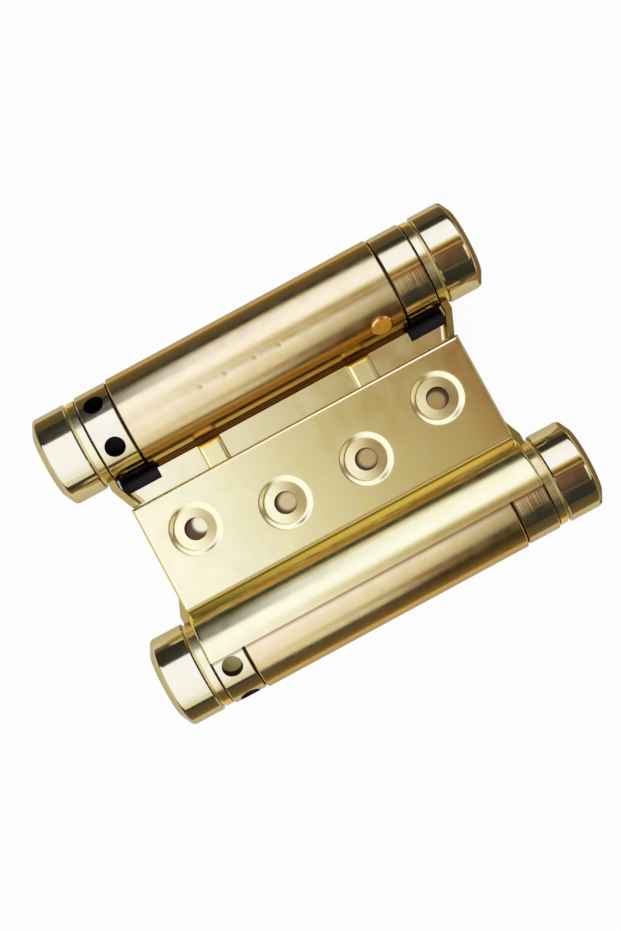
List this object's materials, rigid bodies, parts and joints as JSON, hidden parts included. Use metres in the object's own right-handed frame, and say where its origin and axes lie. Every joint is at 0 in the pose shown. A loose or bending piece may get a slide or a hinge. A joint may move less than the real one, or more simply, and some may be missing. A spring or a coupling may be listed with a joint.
{
  "type": "double action spring hinge",
  "caption": "Brass plated double action spring hinge for a swing door: sprung barrels on both sides of a pressed web, each with a bent leaf holed for screws and a winding collar.",
  "frame": {"origin": "midway between the two pins, in the middle of the web sheet and of its length", "axes": "+X along the pins, away from the winding collars; +Y from the front pin to the rear pin; +Z out of the front leaf's face"},
  "size_m": [0.0962, 0.0708, 0.0224],
  "materials": {
    "web_sheet": "satin brass plating on pressed steel sheet",
    "leaf_sheet": "satin brass plating on pressed steel sheet",
    "barrel_tube": "soft-gloss brass plating on drawn steel tube",
    "polished_collar": "polished brass plating on turned steel",
    "polished_cap": "polished brass plating on turned steel",
    "anchor_pin": "brass plating over a riveted steel pin",
    "brass_washer": "plain brass, unpolished",
    "spring_steel": "oiled spring wire",
    "spindle_steel": "bright drawn steel"
  },
  "bodies": {
    "web": {"web_plate": "web_sheet", "front_spindle": "spindle_steel", "front_left_cap": "polished_cap", "front_left_washer": "brass_washer", "front_right_cap": "polished_cap", "front_right_washer": "brass_washer", "rear_spindle": "spindle_steel", "rear_left_cap": "polished_cap", "rear_left_washer": "brass_washer", "rear_right_cap": "polished_cap", "rear_right_washer": "brass_washer"},
    "front_swing": {"front_leaf": "leaf_sheet", "front_barrel_tube": "barrel_tube", "front_anchor_collar": "polished_collar", "front_anchor_pin": "anchor_pin", "front_torsion_spring": "spring_steel"},
    "front_winder": {"front_adjusting_collar": "polished_collar"},
    "rear_swing": {"rear_leaf": "leaf_sheet", "rear_barrel_tube": "barrel_tube", "rear_anchor_collar": "polished_collar", "rear_anchor_pin": "anchor_pin", "rear_torsion_spring": "spring_steel"},
    "rear_winder": {"rear_adjusting_collar": "polished_collar"}
  },
  "joints": [
    {"name": "front_leaf_swing", "type": "hinge", "parent": "web", "child": "front_swing", "pos_m": [0, -0.0254, 0], "axis": [1, 0, 0], "range_deg": [0, 180], "stiffness_Nm_per_rad": 1, "springref_deg": -28.65, "deforming": ["front_torsion_spring"]},
    {"name": "front_spring_wind", "type": "hinge", "parent": "web", "child": "front_winder", "pos_m": [0, -0.0254, 0], "axis": [1, 0, 0], "range_deg": [-180, 0], "deforming": ["front_torsion_spring"]},
    {"name": "rear_leaf_swing", "type": "hinge", "parent": "web", "child": "rear_swing", "pos_m": [0, 0.0254, 0], "axis": [1, 0, 0], "range_deg": [0, 180], "stiffness_Nm_per_rad": 1, "springref_deg": -28.65, "deforming": ["rear_torsion_spring"]},
    {"name": "rear_spring_wind", "type": "hinge", "parent": "web", "child": "rear_winder", "pos_m": [0, 0.0254, 0], "axis": [1, 0, 0], "range_deg": [-180, 0], "deforming": ["rear_torsion_spring"]}
  ]
}
